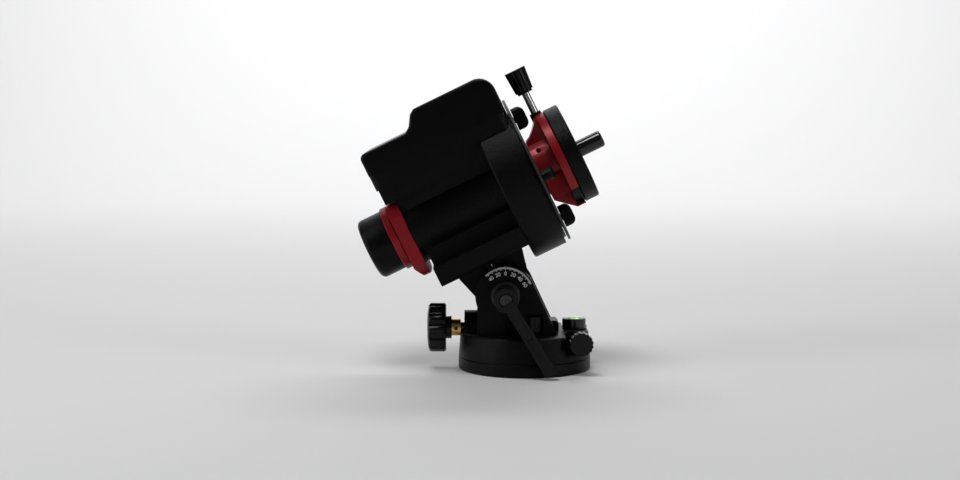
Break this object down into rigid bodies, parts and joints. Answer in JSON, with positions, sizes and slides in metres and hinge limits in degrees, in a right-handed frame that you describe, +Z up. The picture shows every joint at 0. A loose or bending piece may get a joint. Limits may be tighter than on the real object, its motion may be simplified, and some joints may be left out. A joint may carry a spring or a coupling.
{
  "type": "star tracker mount",
  "caption": "Portable equatorial star tracker head on an alt-azimuth base, with worm drives, slip clutch, saddle and camera block.",
  "frame": {"origin": "centre of the base's underside on the axis of the tripod thread", "axes": "+Z up out of the tripod, +X toward the camera end of the tracker, +Y to its left"},
  "size_m": [0.1455, 0.0929, 0.1786],
  "materials": {
    "black_coat": "textured",
    "black_plastic": "satin",
    "black_knob": "satin",
    "red_anodised": "satin",
    "steel": "polished",
    "dark_steel": "satin",
    "brass": "satin",
    "aluminium": "satin",
    "disc_edge": "satin",
    "vinyl": "gloss",
    "level_ring": "gloss",
    "level_green": "clear",
    "lens": "clear",
    "board": "satin",
    "cell": "satin",
    "socket": "matte"
  },
  "bodies": {
    "base": {"base_plate": "black_coat", "tripod_insert": "steel", "centre_bolt": "steel", "azimuth_post": "steel"},
    "turret": {"turret_base": "black_coat", "worm_bearing_block": "black_coat", "worm_bush": "brass", "level_housing": "level_ring", "level_fluid": "level_green", "level_vial": "level_green", "pivot_bolt": "dark_steel", "clamp_washer": "dark_steel"},
    "pad_near": {"azimuth_pad_near": "brass"},
    "pad_far": {"azimuth_pad_far": "brass"},
    "adjuster_near": {"azimuth_knob_near": "black_knob"},
    "adjuster_far": {"azimuth_knob_far": "black_knob"},
    "lock_near": {"azimuth_lock_near": "black_knob"},
    "lock_far": {"azimuth_lock_far": "black_knob"},
    "altitude_drive": {"altitude_worm": "dark_steel", "altitude_knob": "black_knob", "knob_collar": "brass"},
    "lever": {"clamp_lever": "black_knob", "lever_screw": "dark_steel"},
    "tracker": {"tilt_block": "black_coat", "head_bolts": "steel", "main_body": "black_coat", "control_box": "black_plastic", "box_screws": "dark_steel", "circuit_board": "board", "battery_pack": "cell", "drive_motor": "dark_steel", "worm_carrier": "aluminium", "ra_bearings": "steel", "housing_ring": "black_coat", "rear_plate": "red_anodised", "rear_ports": "socket", "scope_tube": "black_coat", "scope_lenses": "lens"},
    "ra_worm_shaft": {"ra_worm": "steel"},
    "motor_shaft": {"motor_pinion": "brass"},
    "switch": {"power_switch": "black_plastic"},
    "focus": {"focus_ring": "red_anodised"},
    "scope_cap": {"polar_cap": "black_plastic"},
    "ra_wheel": {"ra_worm_wheel": "brass"},
    "ra_head": {"ra_shaft": "aluminium", "clutch_plate": "black_coat", "setting_disc": "disc_edge", "saddle": "red_anodised", "clamp_jaw": "black_coat", "lock_sleeve": "black_plastic"},
    "saddle_lock": {"lock_screw": "steel", "lock_knob": "black_knob"},
    "saddle_pad": {"lock_pad": "brass"},
    "camera_mount": {"camera_block": "black_coat", "camera_stud": "steel"},
    "cap": {"stud_cap": "vinyl"},
    "clutch_top": {"clutch_screw_top": "black_plastic"},
    "clutch_near": {"clutch_screw_near": "black_plastic"},
    "clutch_bottom": {"clutch_screw_bottom": "black_plastic"},
    "clutch_far": {"clutch_screw_far": "black_plastic"}
  },
  "joints": [
    {"name": "azimuth", "type": "hinge", "parent": "base", "child": "turret", "pos_m": [0, 0, 0.008], "axis": [0, 0, 1], "range_deg": [-9, 9]},
    {"name": "latitude_tilt", "type": "hinge", "parent": "turret", "child": "tracker", "pos_m": [-0.0116, 0, 0.0457], "axis": [0, -1, 0], "range_deg": [-46, 14]},
    {"name": "pad_near_travel", "type": "slide", "parent": "turret", "child": "pad_near", "axis": [0, 1, 0], "range_m": [-0.0052, 0.0052]},
    {"name": "pad_far_travel", "type": "slide", "parent": "turret", "child": "pad_far", "axis": [0, 1, 0], "range_m": [-0.0052, 0.0052]},
    {"name": "adjuster_near_spin", "type": "hinge", "parent": "pad_near", "child": "adjuster_near", "pos_m": [0.032, -0.03, 0.019], "axis": [0, 1, 0], "range_deg": [-2275, 2275]},
    {"name": "adjuster_far_spin", "type": "hinge", "parent": "pad_far", "child": "adjuster_far", "pos_m": [0.032, 0.03, 0.019], "axis": [0, 1, 0], "range_deg": [-2275, 2275]},
    {"name": "azimuth_lock_near_turn", "type": "hinge", "parent": "turret", "child": "lock_near", "pos_m": [0.006, -0.0196, 0.028], "axis": [0, 0, 1], "range_deg": [0, 180]},
    {"name": "azimuth_lock_far_turn", "type": "hinge", "parent": "turret", "child": "lock_far", "pos_m": [0.006, 0.0196, 0.028], "axis": [0, 0, 1], "range_deg": [0, 180]},
    {"name": "altitude_knob_turn", "type": "hinge", "parent": "turret", "child": "altitude_drive", "pos_m": [-0.05, 0, 0.024], "axis": [1, 0, 0], "continuous": true},
    {"name": "clamp_lever_swing", "type": "hinge", "parent": "turret", "child": "lever", "pos_m": [-0.0116, -0.044, 0.0457], "axis": [0, -1, 0], "range_deg": [0, 95]},
    {"name": "ra_drive", "type": "hinge", "parent": "tracker", "child": "ra_wheel", "pos_m": [-0.00495, 0, 0.11191], "axis": [0.8988, 0, 0.4384], "continuous": true},
    {"name": "ra_worm_spin", "type": "hinge", "parent": "tracker", "child": "ra_worm_shaft", "pos_m": [-0.02433, 0, 0.15164], "axis": [0, 1, 0], "continuous": true},
    {"name": "motor_spin", "type": "hinge", "parent": "tracker", "child": "motor_shaft", "pos_m": [-0.0368, 0, 0.15251], "axis": [0, 1, 0], "continuous": true},
    {"name": "ra_clutch_slip", "type": "hinge", "parent": "ra_wheel", "child": "ra_head", "pos_m": [0.00673, 0, 0.11761], "axis": [0.8988, 0, 0.4384], "continuous": true},
    {"name": "clutch_top_turn", "type": "hinge", "parent": "ra_head", "child": "clutch_top", "pos_m": [-0.00365, -0.00279, 0.14802], "axis": [0.8988, 0, 0.4384], "range_deg": [0, 90]},
    {"name": "clutch_near_turn", "type": "hinge", "parent": "ra_head", "child": "clutch_near", "pos_m": [0.01155, -0.03188, 0.11686], "axis": [0.8988, 0, 0.4384], "range_deg": [0, 90]},
    {"name": "clutch_bottom_turn", "type": "hinge", "parent": "ra_head", "child": "clutch_bottom", "pos_m": [0.0243, 0.00279, 0.09072], "axis": [0.8988, 0, 0.4384], "range_deg": [0, 90]},
    {"name": "clutch_far_turn", "type": "hinge", "parent": "ra_head", "child": "clutch_far", "pos_m": [0.0091, 0.03188, 0.12187], "axis": [0.8988, 0, 0.4384], "range_deg": [0, 90]},
    {"name": "saddle_lock_turn", "type": "hinge", "parent": "ra_head", "child": "saddle_lock", "pos_m": [-0.00278, 0, 0.1686], "axis": [-0.4384, 0, 0.8988], "range_deg": [0, 541]},
    {"name": "saddle_pad_travel", "type": "slide", "parent": "ra_head", "child": "saddle_pad", "axis": [-0.4384, 0, 0.8988], "range_m": [0, 0.0015]},
    {"name": "camera_block_turn", "type": "hinge", "parent": "ra_head", "child": "camera_mount", "pos_m": [0.0265, 0, 0.12726], "axis": [0.8988, 0, 0.4384], "continuous": true},
    {"name": "stud_cap_pull", "type": "slide", "parent": "camera_mount", "child": "cap", "axis": [0.8988, 0, 0.4384], "range_m": [0, 0.018]},
    {"name": "polar_cap_pull", "type": "slide", "parent": "tracker", "child": "scope_cap", "axis": [-0.8988, 0, -0.4384], "range_m": [0, 0.02]},
    {"name": "focus_turn", "type": "hinge", "parent": "tracker", "child": "focus", "pos_m": [-0.07596, 0, 0.07728], "axis": [0.8988, 0, 0.4384], "range_deg": [-120, 120]},
    {"name": "power_switch_slide", "type": "slide", "parent": "tracker", "child": "switch", "axis": [0, 1, 0], "range_m": [0, 0.0035]}
  ],
  "couplings": [
    {"joint": "pad_near_travel", "follows": "azimuth", "m_per_rad": -0.032},
    {"joint": "pad_far_travel", "follows": "azimuth", "m_per_rad": -0.032},
    {"joint": "adjuster_near_spin", "follows": "azimuth", "ratio": -251.33},
    {"joint": "adjuster_far_spin", "follows": "azimuth", "ratio": -251.33},
    {"joint": "altitude_knob_turn", "follows": "latitude_tilt", "ratio": -34},
    {"joint": "ra_worm_spin", "follows": "ra_drive", "ratio": 144},
    {"joint": "motor_spin", "follows": "ra_drive", "ratio": -306},
    {"joint": "saddle_lock_turn", "follows": "saddle_pad_travel", "rad_per_m": 6283.2}
  ]
}
